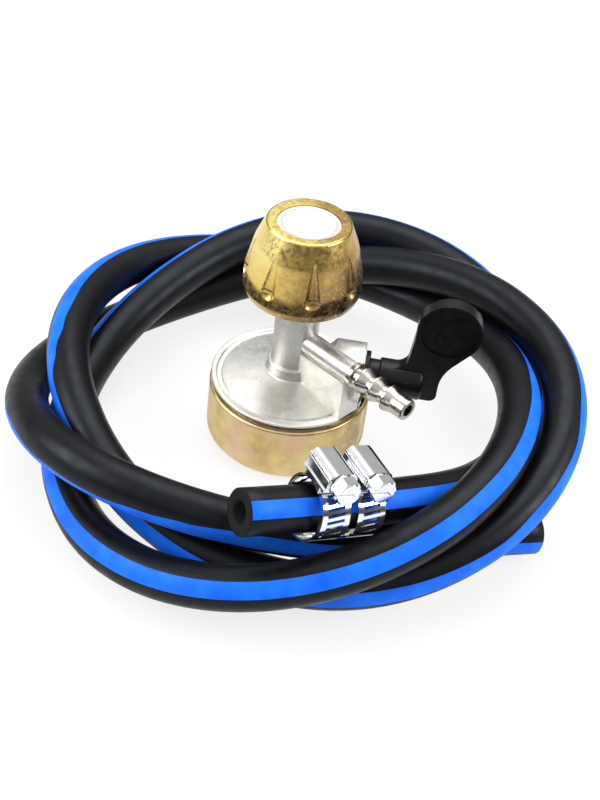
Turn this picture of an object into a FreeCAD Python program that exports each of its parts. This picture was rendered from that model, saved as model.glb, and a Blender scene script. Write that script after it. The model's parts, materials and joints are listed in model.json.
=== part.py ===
import FreeCAD, Part
import math
import os

V = FreeCAD.Vector
ORIGIN = V(0, 0, 0)
UP = V(0, 0, 1)

# Clearances, in millimetres. X runs along the outlet nozzle, Z is up, and the
# origin is on the spindle's axis at the surface that the cup stands on.
RUNNING_FIT = 0.05
SEAT_FIT = 0.05
LOOSE_FIT = 0.1
SEAL_FIT = 0.03

# Pressed steel cup under the regulator
CUP_RADIUS = 26.1
CUP_WALL = 1.1
CUP_TOP = 20.6
CUP_CORNER = 4.5
CUP_LIP = 1.1
LIP_REACH = 2.3
WELL_RADIUS = 12.5
WELL_CORNER = 1.5
DIAPHRAGM_SEAT = 13.9
BREATHER_ANGLE = 26.0
BREATHER_SWEEP = 12.0
BREATHER_DEPTH = 0.9
BREATHER_BOTTOM = 14.8

# Diaphragm, its plate and the spring below it
DIAPHRAGM_THICKNESS = 0.8
DIAPHRAGM_RISE = 1.2
PLATEAU_INNER = 18.6
PLATEAU_OUTER = 21.2
PLATE_THICKNESS = 0.7
SPRING_RADIUS = 19.9
SPRING_WIRE = 1.2
SPRING_TURNS = 3.5
SLEEVE_INNER = 23.0
SLEEVE_WALL = 1.0
SLEEVE_FLANGE = 1.0
SLEEVE_NOTCH = 2.0

# Cast body: disc, skirt, boss and column
DISC_RADIUS = 25.7
DISC_TOP = 23.4
DISC_FACE = 23.3
DISC_CROWN = 26.7
DISC_UNDERSIDE = 20.8
DISC_GROOVE = 22.4
RIM_WIDTH = 1.6
RIM_CHAMFER = 0.35
RIM_BREAK_START = -8.5
RIM_BREAK_SWEEP = 46.0
FACE_GROOVE_DEPTH = 0.6
FACE_GROOVE_WIDTH = 1.6
NECK_RADIUS = 23.6
SKIRT_INNER = 22.6
SHOULDER_HEIGHT = 4.6
BOSS_RADIUS = 15.5
SPIGOT_DROP = 1.5
COLLAR_RADIUS = 8.1
COLLAR_TOP = 30.6
COLUMN_RADIUS = 7.05
COLUMN_TOP = 62.0
COLUMN_EDGE = 0.4

# Outlet block and tube
BLOCK_FRONT = 3.7
BLOCK_BACK = 6.8
BLOCK_END = 24.8
BLOCK_BEVEL = 1.8
BLOCK_DROP = 2.7
OUTLET_HEIGHT = 40.0
OUTLET_RADIUS = 3.65
OUTLET_LENGTH = 25.3
OUTLET_BORE = 2.0

# Hose nozzle
NOZZLE_LENGTH = 22.5
NOZZLE_BORE = 2.0
NOZZLE_COLLAR_RADIUS = 4.05
NOZZLE_COLLAR_LENGTH = 1.7
NOZZLE_NECK_RADIUS = 3.0
NOZZLE_END_RADIUS = 3.5
NOZZLE_END_LENGTH = 4.8
NOZZLE_RIDGE_RADIUS = 4.3
NOZZLE_RIDGES = 3
NOZZLE_STUB_RADIUS = 2.75
NOZZLE_STUB_LENGTH = 8.0
NOZZLE_EDGE = 0.3

# Outlet cock, along its own axis from the point under the tube
COCK_ANGLE = 37.4
COCK_X = 11.3
COCK_DROP = 5.8
BOSS_START = 1.5
BOSS_FACE = 13.9
COCK_BOSS_RADIUS = 9.6
COCK_BOSS_CHAMFER = 3.0
BOSS_WEB = 8.0
BOSS_WEB_START = 6.0
BOSS_WEB_END = 13.4
PASSAGE_AT = 2.4
PASSAGE_RADIUS = 1.3
PLUG_RADIUS = 3.2
PLUG_START = 0.4
PLUG_COLLAR_RADIUS = 4.6
PLUG_COLLAR_AT = 10.25
PLUG_COLLAR_LENGTH = 1.75
STEM_RADIUS = 2.6
STEM_FLAT = 2.0
STEM_END = 30.5
CLIP_AT = 12.1
CLIP_THICKNESS = 0.8
CLIP_GROOVE_DEPTH = 0.55
COCK_THROW = 90.0
STOP_PIN_RADIUS = 0.8
STOP_PIN_CIRCLE = 6.2
STOP_PIN_ANGLE = 120.0
STOP_PIN_DEPTH = 3.0
STOP_PIN_STAND = 1.0

# Cock lever
LEVER_FLANGE_RADIUS = 7.2
LEVER_FLANGE_END = 15.6
LEVER_NECK_RADIUS = 5.0
LEVER_NECK_END = 18.7
LEVER_SLEEVE_RADIUS = 5.8
LEVER_SLEEVE_END = 30.8
LEVER_PLATE = 4.6
LEVER_HEAD_AT = 38.1
LEVER_HEAD_HEIGHT = 21.6
LEVER_HEAD_RADIUS = 10.0
LEVER_HEAD_RIM = 1.1
LEVER_HEAD_DISH = 0.5
LEVER_WAIST_ANGLE = 40.0
LEVER_WAIST_AT = 37.7
LEVER_WAIST_ROUND = 14.0
LEVER_WEB_START = 23.0
LEVER_WEB_ROUND = 4.0
LEVER_FOOT_AT = 37.7
LEVER_FOOT_DROP = 5.2
LEVER_PIN_RADIUS = 0.8
LEVER_PIN_AT = 26.0

# O-ring grooves, all cut to one section
SEAL_WIDTH = 1.3
SPINDLE_SEAL_DEPTH = 0.8
PLUG_SEAL_DEPTH = 0.7
PLUG_SEALS = (5.4, 8.3)
SPINDLE_SEALS = (14.6, 19.4)

# Spindle with its threaded nose
SPINDLE_RADIUS = 3.5
NOSE_RADIUS = 7.95
NOSE_BOTTOM = 1.5
NOSE_TOP = 11.5
NOSE_CHAMFER = 1.0
NOSE_BORE = 1.2
FLANGE_RADIUS = 9.0
FLANGE_TOP = 12.4
SEAL_POCKET_RADIUS = 5.0
SEAL_POCKET_DEPTH = 2.2
SEAL_HOLE = 2.2
FILTER_RADIUS = 2.6
FILTER_THICKNESS = 1.2
GALLERY_WIDTH = 1.4
GALLERY_DEPTH = 0.5
CROSS_HOLE = 0.7
THRUST_RADIUS = 8.5
THRUST_THICKNESS = 0.7
DRIVE_FLAT = 2.9
TIP_RADIUS = 2.5
TIP_LENGTH = 2.4
NUT_FLATS = 8.0
NUT_THICKNESS = 2.2
HUB_WASHER = 0.6
HUB_WASHER_RADIUS = 6.4

# Hand-wheel
WHEEL_BOTTOM = 57.2
WHEEL_TOP = 82.2
WHEEL_FOOT_RADIUS = 17.3
WHEEL_BELLY_RADIUS = 18.4
WHEEL_SHOULDER_RADIUS = 16.0
WHEEL_CROWN_RADIUS = 12.9
WHEEL_BELLY_LOW = 0.1
WHEEL_BELLY_HIGH = 0.3
WHEEL_BELLY_TAPER = 0.1
WHEEL_SHOULDER_AT = 0.7
WHEEL_ROUNDINGS = (3.0, 12.0, 14.0)
WHEEL_INSIDE_RADIUS = 15.0
WHEEL_CEILING = 75.8
HUB_RADIUS = 6.0
WHEEL_RIB = 1.4
WHEEL_RIBS = 4
LABEL_RADIUS = 9.84
LABEL_SINK = 0.9
LABEL_THICKNESS = 0.9
FLUTES = 8
FLUTE_START = -37.0
FLUTE_RADIUS = 3.4
FLUTE_TIP = 0.4
FLUTE_LOW = (20.3, 65.3)
FLUTE_HIGH = (15.4, 77.0)

# Inlet valve: jet, bell-crank lever and its pin, on the -X side
JET_HEIGHT = 17.0
JET_START = 11.5
JET_TIP = 16.0
JET_RADIUS = 1.5
JET_NOSE_RADIUS = 0.8
JET_HOLE = 0.35
PIVOT_REACH = 18.0
PIVOT_HEIGHT = 18.9
PIVOT_PIN_RADIUS = 0.6
PIVOT_HUB_RADIUS = 1.1
LEVER_WIDTH = 2.6
LEVER_REACH = 2.7
LEVER_THROW = 8.0
LEVER_BEAD = 0.6
LEVER_ARM = 0.7
CRANK_THICKNESS = 1.0
CRANK_BOTTOM = 16.2
PAD_RADIUS = 0.8
PAD_THICKNESS = 0.8
LUG_WIDTH = 1.6
LUG_HALF = 1.2
CLIP_WINDOW = 1.5
CLIP_BAR = 0.6
CLIP_CHEEK = 0.7

# Hose
HOSE_DIAMETER = 13.5
HOSE_BORE = 6.5
HOSE_STRAIGHT = 13.5
END_RUN = 42.5
TAIL_RUN = 32.5

# Coil: an uneven loop whose reach and height swing as it winds. Each wave is
# its size in millimetres, its swings in a turn, and where in a swing it peaks.
COIL_CENTRE = (6.5, 1.5)
COIL_START_ANGLE = -19.7
COIL_QUARTERS = 12
COIL_RADIUS = 75.9
COIL_HEIGHT = 22.7
REACH_WAVES = (
    (12.8, 1.739, 0.608),
    (-5.3, 1.879, 0.812),
    (1.8, 2.916, 0.154),
    (-3.3, 0.948, 0.221),
    (-1.2, 2.763, 0.87),
    (-1.2, 1.229, 0.527),
)
HEIGHT_WAVES = (
    (11.0, 1.693, 0.794),
    (7.1, 0.982, 0.199),
    (2.7, 2.518, 0.007),
    (2.7, 2.735, 0.756),
    (1.5, 2.012, 0.397),
)

# Hose clamps
CLAMP_PLACES = (24.7, 36.4)
BAND_RADIUS = 8.9
BAND_THICKNESS = 0.7
BAND_WIDTH = 9.0
BAND_OVERLAP = 0.1
BAND_LIFT = 0.5
SCREW_ANGLE = 90.0
TAIL_BEHIND = 28.0
TAIL_FRONT = -12.0
RACK_SLOTS = 12
RACK_PITCH = 10.4
RACK_SLANT = 8.0
RACK_SLOT = 0.9
RACK_LENGTH = 5.6
HOUSING_LENGTH = 12.0
HOUSING_HALF = 4.6
HOUSING_CROWN = 2.6
HOUSING_WALL = 0.9
HOUSING_LEG = 0.5
HOUSING_FOOT = 7.6
WORM_RADIUS = 2.5
WORM_GROOVE = 0.6
WORM_PITCH = 1.5
SCREW_COLLAR = 3.5
SCREW_COLLAR_LENGTH = 0.8
SCREW_FLATS = 7.0
SCREW_HEAD = 3.8
SCREW_SLOT = 1.1
SCREW_SLOT_DEPTH = 1.4

# Places worked out from the sizes above
CUP_INNER = CUP_RADIUS - CUP_WALL
WELL_OUTER = WELL_RADIUS + CUP_WALL
LIP_INNER = CUP_RADIUS - LIP_REACH
BOSS_BOTTOM = DIAPHRAGM_SEAT + DIAPHRAGM_THICKNESS
SPIGOT_BOTTOM = BOSS_BOTTOM - SPIGOT_DROP
SPIGOT_RADIUS = WELL_RADIUS - LOOSE_FIT
SKIRT_OUTER = CUP_INNER - LOOSE_FIT
BREATHER_INNER = SKIRT_OUTER - BREATHER_DEPTH
SHOULDER_TOP = BOSS_BOTTOM + SHOULDER_HEIGHT
BORE_RADIUS = SPINDLE_RADIUS + RUNNING_FIT + 0.01
PLATE_BOTTOM = BOSS_BOTTOM + DIAPHRAGM_RISE
PLATE_TOP = PLATE_BOTTOM + PLATE_THICKNESS
SPOT_FACE = NOZZLE_RIDGE_RADIUS + 3 * LOOSE_FIT
BLOCK_TOP = OUTLET_HEIGHT - BLOCK_DROP
COCK_HEIGHT = OUTLET_HEIGHT - COCK_DROP
PLUG_BORE = PLUG_RADIUS + RUNNING_FIT
POCKET_RADIUS = PLUG_COLLAR_RADIUS + RUNNING_FIT
LEVER_START = BOSS_FACE + 2 * LOOSE_FIT
HUB_WASHER_BOTTOM = COLUMN_TOP + SEAT_FIT
HUB_BOTTOM = HUB_WASHER_BOTTOM + HUB_WASHER + SEAT_FIT
LABEL_TOP = WHEEL_TOP - LABEL_SINK
LABEL_FLOOR = LABEL_TOP - LABEL_THICKNESS
TIP_TOP = LABEL_FLOOR - SEAT_FIT - LOOSE_FIT
NUT_FLOOR = TIP_TOP - TIP_LENGTH
SEAT_GAP = (PIVOT_HEIGHT - JET_HEIGHT + PAD_RADIUS) * math.sin(math.radians(LEVER_THROW)) + SEAT_FIT
PLATE_TRAVEL = LEVER_REACH * math.radians(LEVER_THROW)
HOSE_RADIUS = HOSE_DIAMETER / 2
BAND_OUTER = BAND_RADIUS + BAND_THICKNESS
TAIL_OUTER = BAND_OUTER + BAND_THICKNESS
WORM_HEIGHT = TAIL_OUTER + WORM_RADIUS + LOOSE_FIT

parts = {}


# Drawing helpers

def outline_edges(corners, place):
    """Edges round a closed outline; a corner's third value is its rounding radius."""
    stations = []
    for index, corner in enumerate(corners):
        here = V(corner[0], corner[1], 0)
        if len(corner) < 3:
            stations.append((here, None, here))
            continue
        before = corners[index - 1]
        after = corners[(index + 1) % len(corners)]
        back = (V(before[0], before[1], 0) - here).normalize()
        onward = (V(after[0], after[1], 0) - here).normalize()
        half = back.getAngle(onward) / 2
        radius = corner[2]
        reach = radius / math.tan(half)
        centre = here + (back + onward).normalize() * (radius / math.sin(half))
        middle = centre + (here - centre).normalize() * radius
        stations.append((here + back * reach, middle, here + onward * reach))
    edges = []
    for index, (first, middle, last) in enumerate(stations):
        if middle is not None:
            edges.append(Part.Arc(place(first), place(middle), place(last)).toShape())
        following = stations[(index + 1) % len(stations)][0]
        if last.distanceToPoint(following) > 1e-6:
            edges.append(Part.LineSegment(place(last), place(following)).toShape())
    return edges


def turned(corners):
    """A solid of revolution about Z from (radius, height) corners."""
    wire = Part.Wire(outline_edges(corners, lambda p: V(p.x, 0, p.y)))
    return Part.Face(wire).revolve(ORIGIN, UP, 360)


def turned_part(inner, outer, bottom, top, start, sweep):
    """Part of a ring about Z, from an angle through a sweep."""
    corners = [V(inner, 0, bottom), V(outer, 0, bottom), V(outer, 0, top), V(inner, 0, top)]
    piece = Part.Face(Part.makePolygon(corners + corners[:1])).revolve(ORIGIN, UP, sweep)
    piece.rotate(ORIGIN, UP, start)
    return piece


def slab(corners, thickness):
    """A plate of (x, z) corners, centred on y = 0."""
    wire = Part.Wire(outline_edges(corners, lambda p: V(p.x, -thickness / 2, p.y)))
    return Part.Face(wire).extrude(V(0, thickness, 0))


def box(low, high):
    """A box between two opposite corners."""
    size = [b - a for a, b in zip(low, high)]
    return Part.makeBox(size[0], size[1], size[2], V(*low))


def ring(inner, outer, bottom, top):
    """A plain ring about Z."""
    return turned([(inner, bottom), (outer, bottom), (outer, top), (inner, top)])


def rod(radius, start, direction, length):
    """A cylinder from a point along a direction."""
    return Part.makeCylinder(radius, length, start, direction)


def hexagon(flats, bottom, height):
    """A six-sided bar about Z."""
    reach = flats / math.sqrt(3)
    corners = [V(reach * math.cos(math.radians(60 * k)), reach * math.sin(math.radians(60 * k)), bottom)
               for k in range(6)]
    return Part.Face(Part.makePolygon(corners + corners[:1])).extrude(V(0, 0, height))


def framed(shape, origin, x_axis, z_axis):
    """Move a shape drawn at the origin to a frame given by its X and Z axes."""
    y_axis = z_axis.cross(x_axis)
    frame = FreeCAD.Placement(origin, FreeCAD.Rotation(x_axis, y_axis, z_axis, "ZXY"))
    moved = shape.copy()
    moved.Placement = frame.multiply(shape.Placement)
    return moved


def o_ring(groove_radius, bore_radius, height):
    """A round-section seal that fills the space between a groove and a bore."""
    section = (bore_radius - SEAL_FIT - groove_radius) / 2
    return Part.makeTorus(groove_radius + section, section, V(0, 0, height), UP)


def seal_groove(groove_radius, shaft_radius, height):
    """The groove that holds a seal in a shaft."""
    return ring(groove_radius, shaft_radius + 1, height - SEAL_WIDTH / 2, height + SEAL_WIDTH / 2)


# The cock's own frame: its Z axis points out along the lever, its X axis is up

COCK_OUT = V(math.cos(math.radians(COCK_ANGLE)), math.sin(math.radians(COCK_ANGLE)), 0)
COCK_ORIGIN = V(COCK_X, 0, COCK_HEIGHT)


def at_cock(shape):
    """Move a shape drawn along Z onto the cock's axis."""
    return framed(shape, COCK_ORIGIN, UP, COCK_OUT)


# Regulator body

def breather_cut(inner, outer, bottom, top):
    """The breather's way down between the casting and the cup's wall."""
    return turned_part(inner, outer, bottom, top, BREATHER_ANGLE - BREATHER_SWEEP / 2, BREATHER_SWEEP)


def bottom_cup():
    cup = turned([
        (WELL_RADIUS, 0, WELL_CORNER),
        (CUP_RADIUS, 0, CUP_CORNER),
        (CUP_RADIUS, CUP_TOP, CUP_LIP * 0.8),
        (LIP_INNER, CUP_TOP, CUP_LIP * 0.4),
        (LIP_INNER, CUP_TOP - CUP_LIP),
        (CUP_INNER, CUP_TOP - CUP_LIP),
        (CUP_INNER, CUP_WALL, CUP_CORNER - CUP_WALL),
        (WELL_OUTER, CUP_WALL, CUP_WALL / 2),
        (WELL_OUTER, DIAPHRAGM_SEAT - CUP_WALL),
        (BOSS_RADIUS, DIAPHRAGM_SEAT - CUP_WALL),
        (BOSS_RADIUS, DIAPHRAGM_SEAT),
        (WELL_RADIUS, DIAPHRAGM_SEAT),
    ])
    return cup.cut(breather_cut(LIP_INNER - 1, CUP_INNER + LOOSE_FIT, BREATHER_BOTTOM, CUP_TOP + 1))


def spring_sleeve():
    outer = SLEEVE_INNER + SLEEVE_WALL
    corner = CUP_CORNER - CUP_WALL
    drop = math.sqrt(corner ** 2 - (outer - CUP_INNER + corner) ** 2)
    bottom = CUP_WALL + corner - drop + LOOSE_FIT
    sleeve = turned([
        (SLEEVE_INNER, bottom),
        (outer, bottom),
        (outer, DIAPHRAGM_SEAT - SLEEVE_FLANGE),
        (SKIRT_OUTER, DIAPHRAGM_SEAT - SLEEVE_FLANGE),
        (SKIRT_OUTER, DIAPHRAGM_SEAT),
        (SLEEVE_INNER, DIAPHRAGM_SEAT),
    ])
    for quarter in range(4):
        notch = box((SLEEVE_INNER - 1, -SLEEVE_NOTCH / 2, bottom - 1),
                    (outer + 1, SLEEVE_NOTCH / 2, bottom + SLEEVE_NOTCH))
        notch.rotate(ORIGIN, UP, 90 * quarter + 45)
        sleeve = sleeve.cut(notch)
    return sleeve.cut(breather_cut(outer, CUP_RADIUS, DIAPHRAGM_SEAT - SLEEVE_FLANGE - 1, DIAPHRAGM_SEAT + 1))


def diaphragm():
    flat_bottom = DIAPHRAGM_SEAT
    flat_top = BOSS_BOTTOM
    raised_bottom = flat_bottom + DIAPHRAGM_RISE
    raised_top = flat_top + DIAPHRAGM_RISE
    inner_edge = WELL_RADIUS + LOOSE_FIT
    slope_start = BOSS_RADIUS + 0.4
    slope_end = SKIRT_INNER - LOOSE_FIT
    sheet = turned([
        (inner_edge, flat_bottom),
        (slope_start, flat_bottom),
        (PLATEAU_INNER, raised_bottom),
        (PLATEAU_OUTER, raised_bottom),
        (slope_end, flat_bottom),
        (SKIRT_OUTER, flat_bottom),
        (SKIRT_OUTER, flat_top),
        (slope_end, flat_top),
        (PLATEAU_OUTER, raised_top),
        (PLATEAU_INNER, raised_top),
        (slope_start, flat_top),
        (inner_edge, flat_top),
    ])
    return sheet.cut(breather_cut(BREATHER_INNER, CUP_RADIUS, flat_bottom - 1, flat_top + 1))


def outlet_block():
    """Block beside the column, its back corner bevelled, drawn in plan."""
    plan = [
        (0, -BLOCK_FRONT),
        (BLOCK_END, -BLOCK_FRONT),
        (BLOCK_END, BLOCK_BACK - BLOCK_BEVEL),
        (BLOCK_END - BLOCK_BEVEL, BLOCK_BACK),
        (0, BLOCK_BACK),
    ]
    floor = DISC_GROOVE + 2 * LOOSE_FIT
    face = Part.Face(Part.makePolygon([V(x, y, floor) for x, y in plan + plan[:1]]))
    return face.extrude(V(0, 0, BLOCK_TOP - floor))


def cock_boss():
    """Round boss behind the outlet tube, on a web that stands on the disc."""
    boss = turned([
        (0, BOSS_START),
        (COCK_BOSS_RADIUS - COCK_BOSS_CHAMFER, BOSS_START),
        (COCK_BOSS_RADIUS, BOSS_START + COCK_BOSS_CHAMFER),
        (COCK_BOSS_RADIUS, BOSS_FACE, 0.3),
        (0, BOSS_FACE),
    ])
    foot = COCK_HEIGHT - DISC_GROOVE - 2 * LOOSE_FIT
    web = box((-foot, -BOSS_WEB / 2, BOSS_WEB_START), (0, BOSS_WEB / 2, BOSS_WEB_END))
    behind = box((-DISC_RADIUS, 0, 0), (2 * DISC_RADIUS, 2 * DISC_RADIUS, COLUMN_TOP))
    return at_cock(boss.fuse(web)).common(behind)


def valve_lugs():
    """Two ears under the disc for the inlet lever's pin."""
    ears = []
    for side in (-1, 1):
        near = side * (LEVER_WIDTH / 2 + LOOSE_FIT)
        far = near + side * LUG_WIDTH
        low = (-PIVOT_REACH - LUG_HALF, min(near, far), PIVOT_HEIGHT - LUG_HALF)
        high = (-PIVOT_REACH + LUG_HALF, max(near, far), DISC_UNDERSIDE + LOOSE_FIT)
        ears.append(box(low, high))
    return ears


def body_casting():
    rim_inner = DISC_RADIUS - RIM_WIDTH
    groove_inner = rim_inner - FACE_GROOVE_WIDTH
    shell = turned([
        (BORE_RADIUS, SPIGOT_BOTTOM),
        (SPIGOT_RADIUS, SPIGOT_BOTTOM),
        (SPIGOT_RADIUS, BOSS_BOTTOM),
        (BOSS_RADIUS, BOSS_BOTTOM),
        (BOSS_RADIUS, DISC_UNDERSIDE, 0.6),
        (SKIRT_INNER, DISC_UNDERSIDE, 0.6),
        (SKIRT_INNER, BOSS_BOTTOM),
        (SKIRT_OUTER, BOSS_BOTTOM),
        (SKIRT_OUTER, SHOULDER_TOP),
        (NECK_RADIUS, SHOULDER_TOP),
        (NECK_RADIUS, DISC_GROOVE),
        (DISC_RADIUS, DISC_GROOVE, 0.3),
        (DISC_RADIUS, DISC_TOP, RIM_CHAMFER),
        (rim_inner, DISC_TOP, RIM_CHAMFER),
        (rim_inner - RIM_CHAMFER, DISC_FACE - FACE_GROOVE_DEPTH),
        (groove_inner, DISC_FACE - FACE_GROOVE_DEPTH),
        (groove_inner - RIM_CHAMFER, DISC_FACE),
        (COLLAR_RADIUS, DISC_CROWN, 0.8),
        (COLLAR_RADIUS, COLLAR_TOP, 0.6),
        (COLUMN_RADIUS, COLLAR_TOP, 0.4),
        (COLUMN_RADIUS, COLUMN_TOP, COLUMN_EDGE),
        (BORE_RADIUS, COLUMN_TOP),
    ])
    rim_break = turned_part(NECK_RADIUS, DISC_RADIUS + 1, DISC_GROOVE - LOOSE_FIT, DISC_TOP + 1,
                            RIM_BREAK_START, RIM_BREAK_SWEEP)
    tube = rod(OUTLET_RADIUS, V(0, 0, OUTLET_HEIGHT), V(1, 0, 0), OUTLET_LENGTH)
    solid = shell.cut(rim_break).fuse([outlet_block(), cock_boss(), tube] + valve_lugs())

    passage = COCK_OUT * PASSAGE_AT + V(COCK_X, 0, 0)
    port_height = (BOSS_BOTTOM + DISC_UNDERSIDE) / 2
    stub_start = OUTLET_LENGTH - NOZZLE_STUB_LENGTH - LOOSE_FIT
    pocket_start = PLUG_COLLAR_AT - RUNNING_FIT
    clip_groove = ring(1, POCKET_RADIUS + CLIP_GROOVE_DEPTH,
                       CLIP_AT - SEAT_FIT, CLIP_AT + CLIP_THICKNESS + SEAT_FIT)
    cuts = [
        rod(BORE_RADIUS, V(0, 0, SPIGOT_BOTTOM - 1), UP, COLUMN_TOP),
        rod(PASSAGE_RADIUS, passage + UP * port_height, UP, OUTLET_HEIGHT - port_height),
        rod(PASSAGE_RADIUS, passage + UP * port_height, V(1, 0, 0), BOSS_RADIUS - passage.x + 1),
        rod(OUTLET_BORE, V(passage.x - OUTLET_BORE, 0, OUTLET_HEIGHT), V(1, 0, 0), OUTLET_LENGTH),
        rod(SPOT_FACE, V(OUTLET_LENGTH, 0, OUTLET_HEIGHT), V(1, 0, 0), OUTLET_LENGTH),
        rod(NOZZLE_STUB_RADIUS + SEAT_FIT, V(stub_start, 0, OUTLET_HEIGHT), V(1, 0, 0), OUTLET_LENGTH),
        at_cock(rod(PLUG_BORE, V(0, 0, PLUG_START - LOOSE_FIT), UP, BOSS_FACE)),
        at_cock(rod(POCKET_RADIUS, V(0, 0, pocket_start), UP, BOSS_FACE)),
        at_cock(clip_groove),
        at_cock(stop_pin_rod(STOP_PIN_RADIUS + 0.01, STOP_PIN_DEPTH + SEAT_FIT)),
        rod(JET_RADIUS + SEAT_FIT, V(-JET_START + SEAT_FIT, 0, JET_HEIGHT), V(-1, 0, 0), BOSS_RADIUS),
        rod(CROSS_HOLE, V(0, 0, JET_HEIGHT), V(-1, 0, 0), JET_START),
        rod(PIVOT_PIN_RADIUS + 0.01, V(-PIVOT_REACH, -BOSS_RADIUS / 2, PIVOT_HEIGHT), V(0, 1, 0), BOSS_RADIUS),
        breather_cut(BREATHER_INNER, CUP_RADIUS, BOSS_BOTTOM - 1, SHOULDER_TOP + 1),
    ]
    return solid.cut(cuts).removeSplitter()


def nozzle():
    """Turned hose tail: a stub in the casting, a collar, ridges and a plain end."""
    first = OUTLET_LENGTH + NOZZLE_COLLAR_LENGTH
    last = OUTLET_LENGTH + NOZZLE_LENGTH - NOZZLE_END_LENGTH
    pitch = (last - first) / NOZZLE_RIDGES
    corners = [
        (NOZZLE_BORE, OUTLET_LENGTH - NOZZLE_STUB_LENGTH),
        (NOZZLE_STUB_RADIUS, OUTLET_LENGTH - NOZZLE_STUB_LENGTH),
        (NOZZLE_STUB_RADIUS, OUTLET_LENGTH),
        (NOZZLE_COLLAR_RADIUS, OUTLET_LENGTH, NOZZLE_EDGE),
        (NOZZLE_COLLAR_RADIUS, first, NOZZLE_EDGE),
    ]
    for ridge in range(NOZZLE_RIDGES):
        start = first + ridge * pitch
        corners += [
            (NOZZLE_NECK_RADIUS, start + NOZZLE_EDGE),
            (NOZZLE_NECK_RADIUS, start + pitch * 0.3),
            (NOZZLE_RIDGE_RADIUS, start + pitch * 0.42, NOZZLE_EDGE / 2),
            (NOZZLE_RIDGE_RADIUS, start + pitch * 0.52, NOZZLE_EDGE / 2),
        ]
    end = OUTLET_LENGTH + NOZZLE_LENGTH
    corners += [
        (NOZZLE_END_RADIUS, last),
        (NOZZLE_END_RADIUS, end - NOZZLE_EDGE),
        (NOZZLE_END_RADIUS - NOZZLE_EDGE, end),
        (NOZZLE_BORE, end),
    ]
    return framed(turned(corners), V(0, 0, OUTLET_HEIGHT), V(0, 1, 0), V(1, 0, 0))


# Diaphragm plate, spring and inlet valve

def diaphragm_plate():
    plate = ring(PLATEAU_INNER, PLATEAU_OUTER, PLATE_BOTTOM, PLATE_TOP)
    half = LEVER_WIDTH / 2 + LOOSE_FIT
    reach = PIVOT_REACH + LEVER_REACH
    window_low = PIVOT_HEIGHT - CLIP_WINDOW / 2
    window_high = PIVOT_HEIGHT + CLIP_WINDOW / 2
    outer = half + CLIP_CHEEK
    inner = reach - CRANK_THICKNESS / 2
    portal = box((-PLATEAU_OUTER, -outer, PLATE_BOTTOM), (-inner, outer, window_high + CLIP_BAR))
    portal = portal.common(rod(PLATEAU_OUTER, V(0, 0, PLATE_BOTTOM), UP, CUP_TOP))
    window = box((-PLATEAU_OUTER - 1, -half, window_low), (-inner + 1, half, window_high))
    return plate.fuse(portal).cut(window).removeSplitter()


def valve_lever():
    """Bell crank: an arm in the plate's clip and a hanging arm with the seat."""
    crank_inner = JET_TIP + SEAT_GAP + PAD_THICKNESS
    crank_outer = crank_inner + CRANK_THICKNESS
    reach = PIVOT_REACH + LEVER_REACH
    hub = rod(PIVOT_HUB_RADIUS, V(-PIVOT_REACH, -LEVER_WIDTH / 2, PIVOT_HEIGHT), V(0, 1, 0), LEVER_WIDTH)
    arm = box((-reach, -LEVER_WIDTH / 2, PIVOT_HEIGHT - LEVER_ARM / 2),
              (-PIVOT_REACH, LEVER_WIDTH / 2, PIVOT_HEIGHT + LEVER_ARM / 2))
    bead = rod(LEVER_BEAD, V(-reach, -LEVER_WIDTH / 2, PIVOT_HEIGHT), V(0, 1, 0), LEVER_WIDTH)
    hanging = box((-crank_outer, -LEVER_WIDTH / 2, CRANK_BOTTOM),
                  (-crank_inner, LEVER_WIDTH / 2, PIVOT_HEIGHT))
    lever = hub.fuse([arm, bead, hanging])
    hole = rod(PIVOT_PIN_RADIUS + RUNNING_FIT, V(-PIVOT_REACH, -LEVER_WIDTH, PIVOT_HEIGHT), V(0, 1, 0),
               2 * LEVER_WIDTH)
    return lever.cut(hole).removeSplitter()


def valve_lever_pin():
    half = LEVER_WIDTH / 2 + LOOSE_FIT + LUG_WIDTH
    return rod(PIVOT_PIN_RADIUS, V(-PIVOT_REACH, -half, PIVOT_HEIGHT), V(0, 1, 0), 2 * half)


def seat_pad():
    return rod(PAD_RADIUS, V(-JET_TIP - SEAT_GAP, 0, JET_HEIGHT), V(-1, 0, 0), PAD_THICKNESS)


def inlet_jet():
    jet = turned([
        (JET_HOLE, JET_START),
        (JET_RADIUS, JET_START),
        (JET_RADIUS, BOSS_RADIUS - LOOSE_FIT),
        (JET_NOSE_RADIUS, BOSS_RADIUS),
        (JET_NOSE_RADIUS, JET_TIP, 0.15),
        (JET_HOLE, JET_TIP),
    ])
    return framed(jet, V(0, 0, JET_HEIGHT), V(0, 1, 0), V(-1, 0, 0))


# Spindle and what turns with it

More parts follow.
